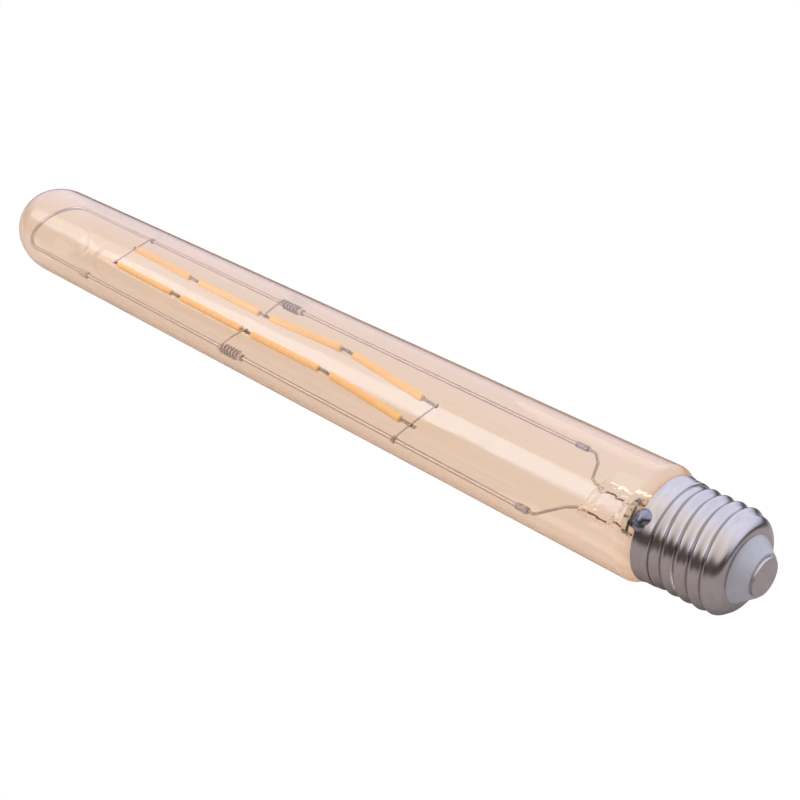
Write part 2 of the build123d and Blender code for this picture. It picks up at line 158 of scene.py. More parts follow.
worldSplit = addNode(worldTree, "ShaderNodeSeparateXYZ", links={0: direction})
nearShade = addNode(worldTree, "ShaderNodeValToRGB", links={"Fac": worldSplit.outputs["Z"]},
                    stops=room["near"])
farShade = addNode(worldTree, "ShaderNodeValToRGB", links={"Fac": worldSplit.outputs["Z"]},
                   stops=room["far"])
farShare = addNode(worldTree, "ShaderNodeMapRange",
                   {"From Min": -room["farFade"], "From Max": room["farFade"]},
                   {"Value": worldSplit.outputs["Y"]}, interpolation_type="SMOOTHSTEP")
roomShade = addNode(worldTree, "ShaderNodeMix",
                    links={0: farShare.outputs["Result"], 6: nearShade.outputs["Color"],
                           7: farShade.outputs["Color"]}, data_type="RGBA")
boxCentre = Vector(room["box"])
boxRight = boxCentre.cross(Vector((0, 0, 1))).normalized()
boxUp = boxRight.cross(boxCentre).normalized()
aside = addNode(worldTree, "ShaderNodeVectorMath", {1: boxRight / room["boxWide"]}, {0: direction},
                operation="DOT_PRODUCT")
above = addNode(worldTree, "ShaderNodeVectorMath", {1: boxUp / room["boxHigh"]}, {0: direction},
                operation="DOT_PRODUCT")
facing = addNode(worldTree, "ShaderNodeVectorMath", {1: boxCentre}, {0: direction}, operation="DOT_PRODUCT")
ahead = addNode(worldTree, "ShaderNodeMath", {1: 0.0}, {0: facing.outputs["Value"]}, operation="GREATER_THAN")
offset = addNode(worldTree, "ShaderNodeCombineXYZ",
                 links={"X": aside.outputs["Value"], "Y": above.outputs["Value"]})
reach = addNode(worldTree, "ShaderNodeVectorMath", links={0: offset.outputs[0]}, operation="LENGTH")
boxFade = addNode(worldTree, "ShaderNodeMapRange",
                  {"From Min": room["boxEdge"][1], "From Max": room["boxEdge"][0]},
                  {"Value": reach.outputs["Value"]}, interpolation_type="SMOOTHSTEP")
boxShare = addNode(worldTree, "ShaderNodeMath", links={0: boxFade.outputs[0], 1: ahead.outputs[0]},
                   operation="MULTIPLY")
roomStrength = addNode(worldTree, "ShaderNodeMapRange", {"To Min": room["plain"], "To Max": room["mirrored"]},
                       {"Value": worldPath.outputs["Is Glossy Ray"]})
paleRoom = addNode(worldTree, "ShaderNodeBackground",
                   links={"Color": roomShade.outputs[2], "Strength": roomStrength.outputs["Result"]})
boxLight = addNode(worldTree, "ShaderNodeBackground",
                   {"Color": hexColour(room["boxColour"]), "Strength": room["boxStrength"]})
roomLight = addNode(worldTree, "ShaderNodeMixShader",
                    links={0: boxShare.outputs[0], 1: paleRoom.outputs[0], 2: boxLight.outputs[0]})
whiteRoom = addNode(worldTree, "ShaderNodeBackground",
                    {"Color": hexColour("#FFFFFF"), "Strength": room["white"]})
worldMix = addNode(worldTree, "ShaderNodeMixShader",
                   links={0: seenOrThrough(worldTree, worldPath), 1: roomLight.outputs[0],
                          2: whiteRoom.outputs[0]})
addNode(worldTree, "ShaderNodeOutputWorld", links={"Surface": worldMix.outputs[0]})

# Floor, in metres: pale paper near the bulb and darker away from it, seen as white
floorSetup = {
    "half": 3.0, "nearColour": "#D6CECA", "farColour": "#625C5A", "fade": (0.05, 0.14),
    "glow": 1.06, "glowShare": 0.94,
}
floorMesh = bpy.data.meshes.new("floor")
half = floorSetup["half"]
floorZ = bulb["floorHeight"] * mm
floorCorners = [(-half, -half, floorZ), (half, -half, floorZ), (half, half, floorZ), (-half, half, floorZ)]
floorMesh.from_pydata(floorCorners, [], [(0, 1, 2, 3)])
floor = bpy.data.objects.new("floor", floorMesh)
bpy.context.scene.collection.objects.link(floor)
floorMaterial, floorTree = newMaterial("paper_backdrop")
floorPath = addNode(floorTree, "ShaderNodeLightPath")
floorCoords = addNode(floorTree, "ShaderNodeTexCoord")
floorSplit = addNode(floorTree, "ShaderNodeSeparateXYZ", links={0: floorCoords.outputs["Object"]})
beyondCap = addNode(floorTree, "ShaderNodeMath", {1: 0.0}, {0: floorSplit.outputs["X"]}, operation="MAXIMUM")
beside = addNode(floorTree, "ShaderNodeCombineXYZ",
                 links={"X": beyondCap.outputs[0], "Y": floorSplit.outputs["Y"]})
distance = addNode(floorTree, "ShaderNodeVectorMath", links={0: beside.outputs[0]}, operation="LENGTH")
fadeStart, fadeEnd = floorSetup["fade"]
fading = addNode(floorTree, "ShaderNodeMapRange", {"From Min": fadeStart, "From Max": fadeEnd},
                 {"Value": distance.outputs["Value"]}, interpolation_type="SMOOTHSTEP")
floorShade = addNode(floorTree, "ShaderNodeMix",
                     {6: hexColour(floorSetup["nearColour"]), 7: hexColour(floorSetup["farColour"])},
                     {0: fading.outputs["Result"]}, data_type="RGBA")
floorPaint = addNode(floorTree, "ShaderNodeBsdfDiffuse", links={"Color": floorShade.outputs[2]})
floorGlow = addNode(floorTree, "ShaderNodeEmission",
                    {"Color": hexColour("#FFFFFF"), "Strength": floorSetup["glow"]})
floorShare = addNode(floorTree, "ShaderNodeMath", {1: floorSetup["glowShare"]},
                     {0: seenOrThrough(floorTree, floorPath)}, operation="MULTIPLY")
floorMix = addNode(floorTree, "ShaderNodeMixShader",
                   links={0: floorShare.outputs[0], 1: floorPaint.outputs[0], 2: floorGlow.outputs[0]})
finishMaterial(floorTree, floorMix)
floor.data.materials.append(floorMaterial)
bpy.context.scene.view_settings.view_transform = "Standard"
print("camera, lights and floor placed")


# Materials, each for the real one and how it was made

def amberGlass():
    # Blown soda-lime glass, tinted in the melt: clear, and deeper in colour where the wall is seen edge on
    material, tree = newMaterial("amber_blown_glass")
    coords = addNode(tree, "ShaderNodeTexCoord")
    ripple = addNode(tree, "ShaderNodeTexNoise", {"Scale": 1 / (22 * mm), "Detail": 1.0},
                     {"Vector": coords.outputs["Object"]})
    bump = addNode(tree, "ShaderNodeBump", {"Strength": 0.06, "Distance": 0.4 * mm},
                   {"Height": ripple.outputs["Fac"]})
    glass = addNode(tree, "ShaderNodeBsdfPrincipled",
                    {"Base Color": hexColour("#FFFFFF"), "Roughness": 0.0, "IOR": 1.56,
                     "Transmission Weight": 1.0, "Specular Tint": hexColour("#B6E0FF")},
                    {"Normal": bump.outputs["Normal"]})
    # Red, green and blue each fade in a metre of glass by what the colour lacks, times the density
    tint = addNode(tree, "ShaderNodeVolumeAbsorption", {"Color": hexColour("#E3BC8B"), "Density": 483.0})
    path = addNode(tree, "ShaderNodeLightPath")
    clear = addNode(tree, "ShaderNodeBsdfTransparent")
    # The wall throws no shadow on what stands inside it
    wall = addNode(tree, "ShaderNodeMixShader",
                   links={0: path.outputs["Is Shadow Ray"], 1: glass.outputs[0], 2: clear.outputs[0]})
    finishMaterial(tree, wall, tint)
    return material


def pressedGlass():
    # Clear glass pinched while soft: crinkled, with small glints. It bends light less than real glass,
    # so that the leads are seen through it
    material, tree = newMaterial("pressed_stem_glass")
    coords = addNode(tree, "ShaderNodeTexCoord")
    crinkle = addNode(tree, "ShaderNodeTexNoise", {"Scale": 1 / (1.8 * mm), "Detail": 2.0},
                      {"Vector": coords.outputs["Object"]})
    bump = addNode(tree, "ShaderNodeBump", {"Strength": 0.45, "Distance": 0.5 * mm},
                   {"Height": crinkle.outputs["Fac"]})
    glass = addNode(tree, "ShaderNodeBsdfPrincipled",
                    {"Base Color": hexColour("#FBF8F4"), "Roughness": 0.0, "IOR": 1.22,
                     "Transmission Weight": 1.0},
                    {"Normal": bump.outputs["Normal"]})
    finishMaterial(tree, glass)
    return material


def metal(name, colour, dark, roughness, grain, bumpStrength):
    # Drawn or rolled metal: marks round the axis, coarser than real ones so that they show, and a slightly
    # uneven plate
    material, tree = newMaterial(name)
    coords = addNode(tree, "ShaderNodeTexCoord")
    stretch = addNode(tree, "ShaderNodeMapping", {"Scale": (1.0, 0.25, 0.25)},
                      {"Vector": coords.outputs["Object"]})
    marks = addNode(tree, "ShaderNodeTexNoise", {"Scale": 1 / (grain * mm), "Detail": 4.0},
                    {"Vector": stretch.outputs["Vector"]})
    plate = addNode(tree, "ShaderNodeValToRGB", links={"Fac": marks.outputs["Fac"]},
                    stops=((0.3, dark), (0.7, colour)))
    rough = addNode(tree, "ShaderNodeMapRange", {"To Min": roughness * 0.8, "To Max": roughness * 1.3},
                    {"Value": marks.outputs["Fac"]})
    bump = addNode(tree, "ShaderNodeBump", {"Strength": bumpStrength, "Distance": 0.05 * mm},
                   {"Height": marks.outputs["Fac"]})
    shader = addNode(tree, "ShaderNodeBsdfPrincipled", {"Metallic": 1.0},
                     {"Base Color": plate.outputs["Color"], "Roughness": rough.outputs["Result"],
                      "Normal": bump.outputs["Normal"]})
    finishMaterial(tree, shader)
    return material


def moulded(name, colour, shade, roughness, grain, strength=0.15):
    # Moulded or coated surface: even colour with a faint mottle and a soft skin
    material, tree = newMaterial(name)
    coords = addNode(tree, "ShaderNodeTexCoord")
    mottle = addNode(tree, "ShaderNodeTexNoise", {"Scale": 1 / (grain * mm), "Detail": 3.0},
                     {"Vector": coords.outputs["Object"]})
    tone = addNode(tree, "ShaderNodeValToRGB", links={"Fac": mottle.outputs["Fac"]},
                   stops=((0.35, shade), (0.65, colour)))
    bump = addNode(tree, "ShaderNodeBump", {"Strength": strength, "Distance": 0.1 * mm},
                   {"Height": mottle.outputs["Fac"]})
    shader = addNode(tree, "ShaderNodeBsdfPrincipled", {"Roughness": roughness},
                     {"Base Color": tone.outputs["Color"], "Normal": bump.outputs["Normal"]})
    finishMaterial(tree, shader)
    return material


def phosphorSilicone():
    # Yellow phosphor in silicone, cast over the chips: matt, with a faint painted glow that brightens the
    # filaments inside the glass, though the bulb is not lit
    material, tree = newMaterial("phosphor_silicone")
    coords = addNode(tree, "ShaderNodeTexCoord")
    chips = addNode(tree, "ShaderNodeTexNoise", {"Scale": 1 / (1.2 * mm), "Detail": 2.0},
                    {"Vector": coords.outputs["Object"]})
    tone = addNode(tree, "ShaderNodeValToRGB", links={"Fac": chips.outputs["Fac"]},
                   stops=((0.3, "#EEC68A"), (0.7, "#F4D6A4")))
    bump = addNode(tree, "ShaderNodeBump", {"Strength": 0.2, "Distance": 0.1 * mm},
                   {"Height": chips.outputs["Fac"]})
    # The emission is painted light: a faint glow on the filaments, not a lamp
    shader = addNode(tree, "ShaderNodeBsdfPrincipled",
                     {"Roughness": 0.55, "Emission Color": hexColour("#FFDA9A"), "Emission Strength": 0.2},
                     {"Base Color": tone.outputs["Color"], "Normal": bump.outputs["Normal"]})
    finishMaterial(tree, shader)
    return material


# The sets of numbers are: light and dark colour, roughness, size of the marks in mm, and depth of the bump
glassMaterial = amberGlass()
stemMaterial = pressedGlass()
# Soft grey nickel with a silky band of light on the cap, and a duller face on the contact
capNickel = metal("rolled_nickel_plate", "#B8AEAC", "#AAA2A0", 0.2, 1.6, 0.1)
contactNickel = metal("stamped_contact_plate", "#C0B6B4", "#B4AAA8", 0.4, 0.8, 0.15)
# Darker, bluish and lumpy
solderTin = metal("cooled_solder", "#9694A0", "#767480", 0.25, 1.4, 0.15)
# Thin bright wires and rods, and the dented tubes that join them
leadNickel = metal("drawn_nickel_wire", "#C2B8B4", "#B0A6A4", 0.25, 1.5, 0.03)
rodSteel = metal("plated_rod", "#CCC6CC", "#C2BCC2", 0.2, 4.0, 0.0)
crimpSteel = metal("crimped_tube", "#B0B0BA", "#9C9CA8", 0.25, 1.6, 0.05)
# Red-brown where the wire was oxidised to seal in the glass
sealingWire = moulded("oxidised_copper_clad", "#8E4634", "#5E2A20", 0.4, 0.5)
# Cool matt white, smooth, with a glossier glaze on the sleeves and the bead
whiteInsulator = moulded("white_moulded_insulator", "#CECCD4", "#C6C4CC", 0.35, 2.5, 0.05)
glaze = moulded("glazed_sleeve", "#E2D8D4", "#D2C8C6", 0.3, 0.8)
# What the cap hides: rough tan cement, brown board, black packages, a bright can and a green-grey resistor
cementMaterial = moulded("capping_cement", "#CDBFA6", "#B8A88C", 0.85, 0.9, 0.4)
boardMaterial = moulded("phenolic_board", "#C4A678", "#B09468", 0.5, 1.2)
chipMaterial = moulded("moulded_package", "#2A2A2C", "#202022", 0.5, 0.6)
canMaterial = metal("drawn_can", "#C8C8CC", "#B4B4B8", 0.3, 1.0, 0.1)
fuseMaterial = moulded("coated_resistor", "#8FA07C", "#7C8C6C", 0.5, 0.8)
phosphor = phosphorSilicone()

finishes = {
    "glass_envelope": glassMaterial, "stem": stemMaterial, "exhaust_tube": stemMaterial, "end_bead": glaze,
    "cap_shell": capNickel, "cap_insulator": whiteInsulator, "centre_contact": contactNickel,
    "rim_solder": solderTin, "cap_cement": cementMaterial, "driver_board": boardMaterial,
    "bridge_rectifier": chipMaterial, "driver_chip": chipMaterial, "smoothing_capacitor": canMaterial,
    "fuse_resistor": fuseMaterial, "neutral_wire": leadNickel,
}
finishWords = {
    "inner_lead": leadNickel, "press_wire": sealingWire, "outer_lead": sealingWire, "crimp": crimpSteel,
    "rod": rodSteel, "sleeve": glaze, "support_wire": leadNickel, "cross_wire": leadNickel,
}
for name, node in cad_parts.items():
    finish = finishes.get(name)
    if not finish:
        finish = next((value for word, value in finishWords.items() if name.endswith(word)), None)
    if not finish:
        finish = phosphor if name.startswith("filament") else leadNickel
    for slot in node.material_slots:
        slot.material = finish
print("materials set on", len(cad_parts), "nodes")


# Pieces

def newPiece(name, mesh, material, *replaced, slotName):
    piece = bpy.data.objects.new(name, mesh)
    bpy.context.scene.collection.objects.link(piece)
    mesh.materials.clear()
    mesh.materials.append(material)
    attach(piece, "root")
    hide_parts(*replaced)


def framePoint(along, side, up):
    # A point in the plane of the support rods, which is turned about the bulb and leans a little
    lean = math.radians(bulb["frameLean"])
    roll = math.radians(bulb["frameRoll"])
    fromCentre = along - bulb["leanCentre"]
    length = bulb["leanCentre"] + fromCentre * math.cos(lean) + side * math.sin(lean)
    across = side * math.cos(lean) - fromCentre * math.sin(lean)
    return Vector((-length, -across * math.cos(roll) - up * math.sin(roll),
                   -across * math.sin(roll) + up * math.cos(roll))) * mm


def ringMesh(name, rings):
    # Rings of as many points each, bridged one after the other and closed by a point at both ends
    verts = [sum(rings[0], Vector()) / len(rings[0])]
    for ring in rings:
        verts += ring
    verts.append(sum(rings[-1], Vector()) / len(rings[-1]))
    count = len(rings[0])
    faces = []
    for index in range(count):
        after = (index + 1) % count
        faces.append((0, 1 + index, 1 + after))
        for row in range(len(rings) - 1):
            near, far = 1 + row * count, 1 + (row + 1) * count
            faces.append((near + index, far + index, far + after, near + after))
        last = 1 + (len(rings) - 1) * count
        faces.append((last + index, len(verts) - 1, last + after))
    mesh = bpy.data.meshes.new(name)
    mesh.from_pydata(verts, [], faces)
    mesh.shade_smooth()
    return mesh


def turnedMesh(name, profile, segments):
    # A closed outline of (length, radius) turned about the X axis, with one point where it meets the axis
    verts, faces, rings = [], [], []
    for along, radius in profile:
        if radius == 0:
            rings.append([len(verts)])
            verts.append((-along * mm, 0, 0))
        else:
            rings.append([len(verts) + index for index in range(segments)])
            for index in range(segments):
                turn = 2 * math.pi * index / segments
                verts.append((-along * mm, radius * mm * math.sin(turn), radius * mm * math.cos(turn)))
    for first, second in zip(rings, rings[1:]):
        for index in range(segments):
            after = (index + 1) % segments
            if len(first) == 1 and len(second) > 1:
                faces.append((first[0], second[index], second[after]))
            elif len(second) == 1 and len(first) > 1:
                faces.append((first[index], second[0], first[after]))
            elif len(first) > 1:
                faces.append((first[index], second[index], second[after], first[after]))
    mesh = bpy.data.meshes.new(name)
    mesh.from_pydata(verts, [], faces)
    mesh.shade_smooth()
    return mesh


# Glass envelope: the wall's outside, then its inside, as one closed blown form
envelope = {
    "wall": 1.0, "domeHeight": 17.9, "neckEnd": 17.0, "shoulderStart": 27.7, "shoulderRound": 3.2,
    "neckRound": 0.5, "shoulderExtra": 0.35,
    "segments": 160, "domeSteps": 28, "bendSteps": 10, "tubeSteps": 40,
}


def arcPoints(centre, radius, startAngle, endAngle, steps):
    points = []
    for index in range(steps + 1):
        angle = math.radians(startAngle + (endAngle - startAngle) * index / steps)
        points.append((centre[0] + radius * math.cos(angle), centre[1] + radius * math.sin(angle)))
    return points


def envelopeSide(inset):
    # The wall is a little thicker inside the shoulder, where the neck was drawn in
    side = bulb["tubeRadius"] - inset
    neck = bulb["neckRadius"] - inset
    extra = envelope["shoulderExtra"] * inset / envelope["wall"]
    shoulder = envelope["shoulderStart"] + inset + extra
    domeBase = bulb["length"] - envelope["domeHeight"]
    outerRound = envelope["shoulderRound"] - inset + extra
    innerRound = envelope["neckRound"] + inset
    dome = []
    for index in range(envelope["domeSteps"] + 1):
        angle = math.pi / 2 * index / envelope["domeSteps"]
        dome.append((domeBase + (envelope["domeHeight"] - inset) * math.cos(angle), side * math.sin(angle)))
    dome[0] = (dome[0][0], 0.0)
    tube = []
    for index in range(1, envelope["tubeSteps"]):
        share = index / envelope["tubeSteps"]
        tube.append((domeBase + (shoulder + outerRound - domeBase) * share, side))
    bend = arcPoints((shoulder + outerRound, side - outerRound), outerRound, 90, 180, envelope["bendSteps"])
    foot = arcPoints((shoulder - innerRound, neck + innerRound), innerRound, 0, -90, envelope["bendSteps"])
    return [*dome, *tube, *bend, *foot, (envelope["neckEnd"], neck)]


outside = envelopeSide(0.0)
inside = envelopeSide(envelope["wall"])
envelopeMesh = turnedMesh("blown_tube", [*outside, *reversed(inside)], envelope["segments"])
newPiece("blown_tube", envelopeMesh, glassMaterial, "glass_envelope", slotName="amber_glass")
print("glass envelope made")


# Cap shell: a grid turned round the axis, with the rolled thread raised by Geometry Nodes as a ridge wound
# along it
capShell = {
    "base": 4.63, "cornerRadius": 3.0, "holeRadius": 8.4, "sheet": 0.3, "rootRadius": 12.15,
    "crestRadius": 13.1, "skirtStart": 22.9, "skirtRound": 0.55, "skirtRadius": 13.3,
    "rimStart": 27.4, "rimRadius": 13.55, "rimLip": 0.7, "rimEdge": 0.12,
    "pitch": 3.629, "crestAt": 9.12, "crestTurn": 37.5, "crestPower": 1.05, "fadeIn": (5.2, 9.0),
    "fadeOut": (22.3, 23.0), "step": 0.12, "segments": 220, "cornerSteps": 14, "roundSteps": 6,
}


def capShellProfile(inset):
    # The turned form without its thread: end, rounded corner, threaded stretch, step, skirt and rim
    root = capShell["rootRadius"] - inset
    skirt = capShell["skirtRadius"] - inset
    base = capShell["base"] + inset
    corner = capShell["cornerRadius"] - inset
    step = capShell["skirtStart"] + inset
    bend = capShell["skirtRound"]
    end = capShell["rimStart"]
    points = [(base, capShell["holeRadius"])]
    points += arcPoints((base + corner, root - corner), corner, 180, 90, capShell["cornerSteps"])
    along = base + corner
    while along + capShell["step"] < step - bend:
        along += capShell["step"]
        points.append((along, root))
    points += arcPoints((step - bend, root + bend), bend, -90, 0, capShell["roundSteps"])
    points += arcPoints((step + bend, skirt - bend), bend, 180, 90, capShell["roundSteps"])
    if inset == 0:
        lip = end - capShell["rimLip"]
        rim = capShell["rimRadius"]
        edge = capShell["rimEdge"]
        points += [(lip, skirt), (lip + edge, rim), (end - edge, rim), (end, rim - edge)]
    points.append((end, skirt))
    return points


def threadTree():
    # The radius grows with a wave that turns once round the axis in each pitch, and fades at both ends
    tree = bpy.data.node_groups.new("rolled_thread", "GeometryNodeTree")
    tree.interface.new_socket("Geometry", in_out="INPUT", socket_type="NodeSocketGeometry")
    tree.interface.new_socket("Geometry", in_out="OUTPUT", socket_type="NodeSocketGeometry")
    tree.interface.new_socket("Material", in_out="INPUT", socket_type="NodeSocketMaterial")
    for label in ("Pitch", "Ridge Height", "Crest Place", "Crest Turn", "Crest Power", "Fade In Start",
                  "Fade In End", "Fade Out Start", "Fade Out End"):
        tree.interface.new_socket(label, in_out="INPUT", socket_type="NodeSocketFloat")
    given = addNode(tree, "NodeGroupInput")
    place = addNode(tree, "GeometryNodeInputPosition")
    split = addNode(tree, "ShaderNodeSeparateXYZ", links={0: place.outputs[0]})
    along = addNode(tree, "ShaderNodeMath", {1: -1.0}, {0: split.outputs["X"]}, operation="MULTIPLY")
    turn = addNode(tree, "ShaderNodeMath", links={0: split.outputs["Y"], 1: split.outputs["Z"]},
                   operation="ARCTAN2")
    fromCrest = addNode(tree, "ShaderNodeMath", links={0: along.outputs[0], 1: given.outputs["Crest Place"]},
                        operation="SUBTRACT")
    pitches = addNode(tree, "ShaderNodeMath", links={0: fromCrest.outputs[0], 1: given.outputs["Pitch"]},
                      operation="DIVIDE")
    turned = addNode(tree, "ShaderNodeMath", links={0: turn.outputs[0], 1: given.outputs["Crest Turn"]},
                     operation="SUBTRACT")
    angle = addNode(tree, "ShaderNodeMath", {1: 2 * math.pi}, {0: pitches.outputs[0]}, operation="MULTIPLY")
    phase = addNode(tree, "ShaderNodeMath", links={0: angle.outputs[0], 1: turned.outputs[0]},
                    operation="SUBTRACT")
    wave = addNode(tree, "ShaderNodeMath", links={0: phase.outputs[0]}, operation="COSINE")
    lifted = addNode(tree, "ShaderNodeMath", {1: 0.5, 2: 0.5}, {0: wave.outputs[0]}, operation="MULTIPLY_ADD")
    rounded = addNode(tree, "ShaderNodeMath", links={0: lifted.outputs[0], 1: given.outputs["Crest Power"]},
                      operation="POWER")
    fadeIn = addNode(tree, "ShaderNodeMapRange", links={"Value": along.outputs[0],
                                                         "From Min": given.outputs["Fade In Start"],
                                                         "From Max": given.outputs["Fade In End"]},
                     interpolation_type="SMOOTHSTEP")
    fadeOut = addNode(tree, "ShaderNodeMapRange", links={"Value": along.outputs[0],
                                                          "From Min": given.outputs["Fade Out End"],
                                                          "From Max": given.outputs["Fade Out Start"]},
                      interpolation_type="SMOOTHSTEP")
    fade = addNode(tree, "ShaderNodeMath", links={0: fadeIn.outputs[0], 1: fadeOut.outputs[0]},
                   operation="MULTIPLY")
    ridge = addNode(tree, "ShaderNodeMath", links={0: rounded.outputs[0], 1: fade.outputs[0]},
                    operation="MULTIPLY")
    height = addNode(tree, "ShaderNodeMath", links={0: ridge.outputs[0], 1: given.outputs["Ridge Height"]},
                     operation="MULTIPLY")
    flat = addNode(tree, "ShaderNodeCombineXYZ", links={"Y": split.outputs["Y"], "Z": split.outputs["Z"]})
    outward = addNode(tree, "ShaderNodeVectorMath", links={0: flat.outputs[0]}, operation="NORMALIZE")
    shift = addNode(tree, "ShaderNodeVectorMath", links={0: outward.outputs[0], "Scale": height.outputs[0]},
                    operation="SCALE")
    moved = addNode(tree, "GeometryNodeSetPosition",
                    links={"Geometry": given.outputs["Geometry"], "Offset": shift.outputs[0]})
    real = addNode(tree, "GeometryNodeRealizeInstances", links={0: moved.outputs[0]})
    coated = addNode(tree, "GeometryNodeSetMaterial",
                     links={"Geometry": real.outputs[0], "Material": given.outputs["Material"]})
    addNode(tree, "NodeGroupOutput", links={0: coated.outputs[0]})
    return tree


def runTree(mesh, tree, values):
    # The tree's result as a plain mesh, so no modifier stays on the piece
    holder = bpy.data.objects.new("holder", mesh)
    bpy.context.scene.collection.objects.link(holder)
    modifier = holder.modifiers.new("nodes", "NODES")
    modifier.node_group = tree
    for item in tree.interface.items_tree:
        if item.in_out == "INPUT" and item.name in values:
            modifier[item.identifier] = values[item.name]
    made = bpy.data.meshes.new_from_object(holder.evaluated_get(bpy.context.evaluated_depsgraph_get()))
    bpy.data.objects.remove(holder)
    return made


capProfile = [*capShellProfile(0.0), *reversed(capShellProfile(capShell["sheet"]))]
capProfile.append(capProfile[0])
capBlank = turnedMesh("cap_blank", capProfile, capShell["segments"])
threaded = runTree(capBlank, threadTree(), {
    "Material": capNickel,
    "Pitch": capShell["pitch"] * mm,
    "Ridge Height": (capShell["crestRadius"] - capShell["rootRadius"]) * mm,
    "Crest Place": capShell["crestAt"] * mm,
    "Crest Turn": math.radians(capShell["crestTurn"]),
    "Crest Power": capShell["crestPower"],
    "Fade In Start": capShell["fadeIn"][0] * mm,
    "Fade In End": capShell["fadeIn"][1] * mm,
    "Fade Out Start": capShell["fadeOut"][0] * mm,
    "Fade Out End": capShell["fadeOut"][1] * mm,
})
threaded.shade_smooth()
newPiece("rolled_cap_shell", threaded, capNickel, "cap_shell", slotName="nickel_cap")
print("cap shell made")


# Stem: flare and tube turned about the axis, then pinched to a flat press that the jaws crumple
stemForm = {
    "neckEnd": 17.0, "neckRadius": 11.15, "neckBore": 10.25, "rimGap": 0.05, "boreGap": 0.02,
    "flareStart": 28.0, "flareRim": 1.1, "radius": 7.0, "wall": 1.2, "tubeEnd": 35.0, "boreStop": 0.4,
    "pressStart": 39.5, "pressEnd": 48.8, "pressWidth": 12.4, "pressThick": 4.0, "pressShift": 0.5,
    "endRound": 1.4, "crumple": 0.45, "crumpleSize": 2.2, "crumpleShift": 4.0, "seed": 4,
    "segments": 144, "step": 0.2, "flareSteps": 14,
}


def stemRing(along, width, thick=None, squareness=2, shift=0):
    # One cross-section, from a circle (squareness 2) to a rounded flat slab
    thick = width if thick is None else thick
    ring = []
    for index in range(stemForm["segments"]):
        turn = 2 * math.pi * index / stemForm["segments"]
        cosine, sine = math.cos(turn), math.sin(turn)
        side = math.copysign(abs(cosine) ** (2 / squareness), cosine) * width / 2 + shift
        up = math.copysign(abs(sine) ** (2 / squareness), sine) * thick / 2
        ring.append(framePoint(along, side, up))
    return ring


def flareRings(rimAt, rimRadius, radius):
    # The flare narrows from its rim to the tube as a quarter of an ellipse
    rings = []
    for index in range(stemForm["flareSteps"] + 1):
        share = 1 - index / stemForm["flareSteps"]
        along = stemForm["flareStart"] + (rimAt - stemForm["flareStart"]) * share
        opened = 1 - math.sqrt(1 - share * share)
        rings.append(stemRing(along, 2 * (radius + (rimRadius - radius) * opened)))
    return rings


def crumpled(point, strength):
    # The jaws leave the soft glass uneven, more where it is pressed flat
    grain = point / (stemForm["crumpleSize"] * mm) + Vector((stemForm["crumpleShift"], 0, 0))
    return point + noise.noise_vector(grain) * stemForm["crumple"] * strength * mm


noise.seed_set(stemForm["seed"])
flareEnd = stemForm["neckEnd"] - stemForm["flareRim"]
stemRings = [stemRing(flareEnd + stemForm["rimGap"], 2 * stemForm["neckRadius"]),
             stemRing(stemForm["neckEnd"] - stemForm["rimGap"], 2 * stemForm["neckRadius"])]
stemRings += flareRings(stemForm["neckEnd"], stemForm["neckBore"], stemForm["radius"])
tubeWidth = 2 * stemForm["radius"]
along = stemForm["flareStart"]
while along < stemForm["pressEnd"] - stemForm["step"]:
    along += stemForm["step"]
    pressed = (along - stemForm["tubeEnd"]) / (stemForm["pressStart"] - stemForm["tubeEnd"])
    pinch = min(1.0, max(0.0, pressed))
    pinch = pinch * pinch * (3 - 2 * pinch)  # starts and ends smoothly
    tip = min(1.0, (stemForm["pressEnd"] - along) / stemForm["endRound"])
    shrink = 2 * stemForm["endRound"] * (1 - math.sqrt(max(0.0, 1 - (1 - tip) ** 2)))
    width = tubeWidth + (stemForm["pressWidth"] - tubeWidth) * pinch - shrink
    thick = tubeWidth + (stemForm["pressThick"] - tubeWidth) * pinch - shrink
    ring = stemRing(along, width, thick, 2 + 2 * pinch, stemForm["pressShift"] * pinch)
    stemRings.append([crumpled(point, pinch) for point in ring])
boreRadius = stemForm["radius"] - stemForm["wall"]
bore = [stemRing(flareEnd + stemForm["rimGap"], 2 * stemForm["neckBore"] - stemForm["boreGap"])]
bore += flareRings(flareEnd, stemForm["neckBore"] - stemForm["boreGap"], boreRadius)
bore.append(stemRing(stemForm["tubeEnd"] - stemForm["boreStop"], 2 * boreRadius))
stemMesh = ringMesh("crumpled_stem", [*reversed(bore), *stemRings])
newPiece("crumpled_stem", stemMesh, stemMaterial, "stem", slotName="stem_glass")
print("stem made")


# Crimps over the rod ends: short tubes nipped twice
crimp = {
    "middle": 61.3, "length": 4.0, "radius": 0.86, "nipDepth": 0.192, "nipBulge": 0.048, "nipSpacing": 1.7,
    "nipWidth": 0.55, "edge": 0.25, "sides": {"front": 11.8, "back": -11.8}, "segments": 40, "steps": 44,
}


def crimpRing(side, along):
    # Round at the ends and pressed flatter where the jaws closed
    nips = sum(math.exp(-((along - place) / crimp["nipWidth"]) ** 2)
               for place in (-crimp["nipSpacing"] / 2, crimp["nipSpacing"] / 2))
    toEnd = crimp["length"] / 2 - abs(along)
    tip = max(0.0, 1 - toEnd / crimp["edge"])
    radius = crimp["radius"] - crimp["edge"] * (1 - math.sqrt(max(0.0, 1 - tip * tip)))
    high = radius - crimp["nipDepth"] * nips
    wide = radius + crimp["nipBulge"] * nips
    ring = []
    for index in range(crimp["segments"]):
        turn = 2 * math.pi * index / crimp["segments"]
        ring.append(framePoint(crimp["middle"] + along, side + wide * math.cos(turn), high * math.sin(turn)))
    return ring


for name, side in crimp["sides"].items():
    places = [crimp["length"] * (index / crimp["steps"] - 0.5) for index in range(crimp["steps"] + 1)]
    crimpMesh = ringMesh(f"{name}_nipped_tube", [crimpRing(side, along) for along in places])
    newPiece(f"{name}_nipped_tube", crimpMesh, crimpSteel, f"{name}_crimp", slotName="nickel_wire")
print("crimps made")


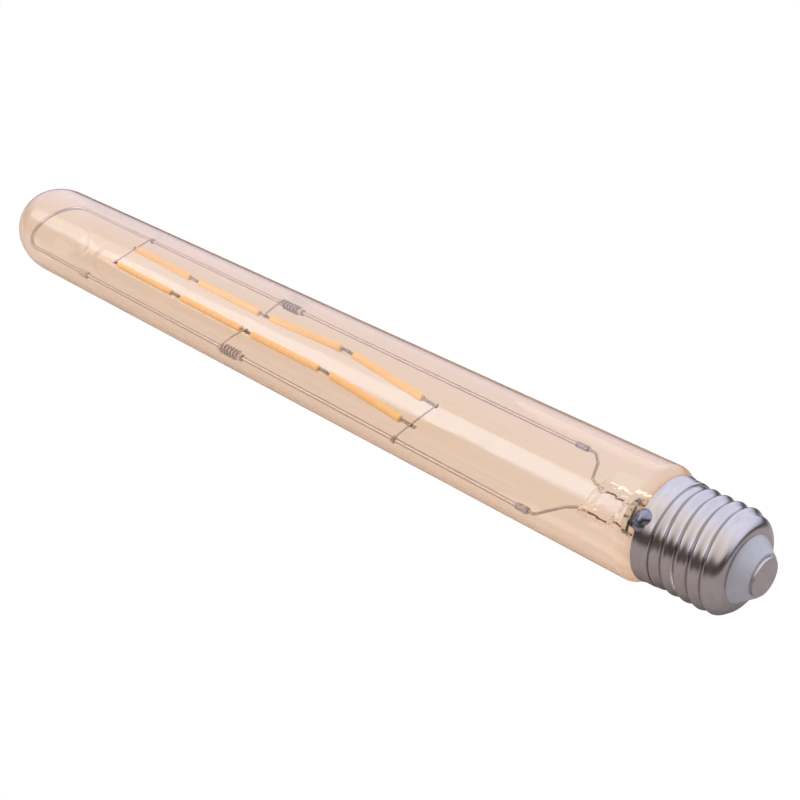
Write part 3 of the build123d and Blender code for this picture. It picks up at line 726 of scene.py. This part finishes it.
# Solder on the rim: two drops run together, lying on the skirt and against the glass
solder = {
    "drops": (
        {"along": 26.6, "turn": -52.0, "spread": 2.05, "height": 1.35},
        {"along": 27.1, "turn": -60.5, "spread": 1.8, "height": 1.15},
    ),
    "crease": 2.5, "dome": 0.8, "lift": 0.02, "rimEnd": 0.1, "gapDepth": 1.0, "spokes": 120, "rows": 40,
    "reach": 4.6, "march": 0.03,
}


def coverRadius(along):
    # What the solder lies on: skirt, rim lip, the gap and then the round shoulder of the glass
    if along < capShell["rimStart"] - capShell["rimLip"]:
        return capShell["skirtRadius"]
    if along < capShell["rimStart"] + solder["rimEnd"]:
        return capShell["rimRadius"]
    outer = envelope["shoulderRound"]
    centre = envelope["shoulderStart"] + outer
    reach = max(0.0, outer ** 2 - max(0.0, centre - along) ** 2)
    return max(bulb["tubeRadius"] - outer + math.sqrt(reach), bulb["neckRadius"] + solder["gapDepth"])


def dropHeight(along, turn):
    # How far the solder stands over what it lies on: a dome for each drop, with a soft crease where they meet
    total = 0.0
    for drop in solder["drops"]:
        arc = math.radians(turn - drop["turn"]) * capShell["skirtRadius"]
        left = 1 - ((along - drop["along"]) ** 2 + arc ** 2) / drop["spread"] ** 2
        if left > 0:
            total += (drop["height"] * left ** solder["dome"]) ** solder["crease"]
    return total ** (1 / solder["crease"])


middleAlong = sum(drop["along"] for drop in solder["drops"]) / 2
middleTurn = sum(drop["turn"] for drop in solder["drops"]) / 2
degreesPerMm = math.degrees(1 / capShell["skirtRadius"])


def solderSpot(heading, reach):
    return (middleAlong + reach * math.cos(heading),
            middleTurn + reach * math.sin(heading) * degreesPerMm)


# The edge: out from the middle along each spoke, until the drops end
edge = []
for spoke in range(solder["spokes"]):
    heading = 2 * math.pi * spoke / solder["spokes"]
    reach = 0.0
    while reach < solder["reach"]:
        if dropHeight(*solderSpot(heading, reach + solder["march"])) <= solder["lift"]:
            break
        reach += solder["march"]
    edge.append((heading, reach))


def solderRing(share, top):
    # The underside lies just over what carries it, and the top nowhere meets the underside
    ring = []
    for heading, reach in edge:
        along, turn = solderSpot(heading, reach * share)
        radius = coverRadius(along) + solder["lift"]
        if top:
            radius = max(radius + solder["lift"], capShell["skirtRadius"] + dropHeight(along, turn))
        angle = math.radians(turn)
        ring.append(Vector((-along, radius * math.sin(angle), radius * math.cos(angle))) * mm)
    return ring


rowShares = [math.sin(math.pi / 2 * row / solder["rows"]) for row in range(1, solder["rows"] + 1)]
topRings = [solderRing(share, True) for share in rowShares]
underRings = [solderRing(share, False) for share in reversed(rowShares)]
solderMesh = ringMesh("solder_drops", [*topRings, *underRings])
newPiece("solder_drops", solderMesh, solderTin, "rim_solder", slotName="solder")
print("solder made")
